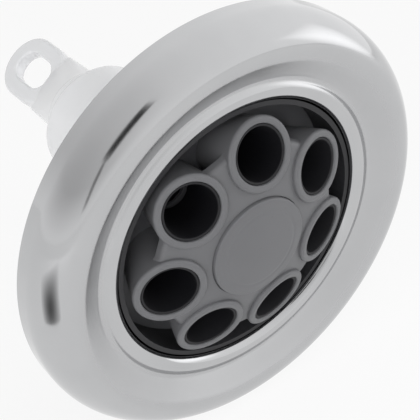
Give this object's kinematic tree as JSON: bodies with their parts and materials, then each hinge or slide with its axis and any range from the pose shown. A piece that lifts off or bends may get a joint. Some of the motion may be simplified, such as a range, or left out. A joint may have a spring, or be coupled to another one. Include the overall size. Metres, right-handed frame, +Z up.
{
  "type": "hot tub jet",
  "caption": "Spa jet insert: domed polished escutcheon, grey face with angled round outlets, spinning distributor inside, and a white barrel ending in an eye.",
  "frame": {"origin": "on the jet's axis, in the plane of the escutcheon's back edge, where it seats on the tub wall", "axes": "+Y along the jet's axis towards the barrel, so water leaves towards -Y; +Z up"},
  "size_m": [0.127, 0.1359, 0.127],
  "materials": {
    "polished_steel": "polished",
    "grey_plastic": "satin moulded",
    "dark_plastic": "satin moulded",
    "black_plastic": "satin moulded",
    "white_plastic": "glossy",
    "acetal": "smooth",
    "stainless": "turned",
    "rubber": "matt"
  },
  "bodies": {
    "barrel": {"barrel": "white_plastic", "barrel_o_ring_front": "rubber", "barrel_o_ring_rear": "rubber", "wear_ring": "acetal", "tail_nozzle": "white_plastic"},
    "face": {"escutcheon_skin": "polished_steel", "escutcheon_carrier": "grey_plastic", "face_plate": "grey_plastic", "outlet_liners": "black_plastic", "centre_cap": "grey_plastic", "hub_screw": "stainless", "face_cup": "dark_plastic", "rotor_shaft": "stainless", "bearing_inner_race": "stainless", "thrust_washer": "acetal", "shaft_clip": "stainless", "rotor_housing": "dark_plastic", "housing_screws": "stainless", "valve_sleeve": "dark_plastic", "sleeve_o_ring": "rubber", "sleeve_retainer": "stainless"},
    "rotor": {"rotor": "acetal", "bearing_outer_race": "stainless"},
    "ball_cage": {"bearing_balls": "stainless", "bearing_cage": "acetal"}
  },
  "joints": [
    {"name": "face_turn", "type": "hinge", "parent": "barrel", "child": "face", "pos_m": [0, 0.04, 0], "axis": [0, -1, 0], "range_deg": [0, 60]},
    {"name": "rotor_spin", "type": "hinge", "parent": "face", "child": "rotor", "pos_m": [0, 0.0088, 0], "axis": [0, -1, 0], "continuous": true},
    {"name": "cage_spin", "type": "hinge", "parent": "face", "child": "ball_cage", "pos_m": [0, 0.0088, 0], "axis": [0, -1, 0], "continuous": true}
  ],
  "couplings": [
    {"joint": "cage_spin", "follows": "rotor_spin", "ratio": 0.6526}
  ]
}
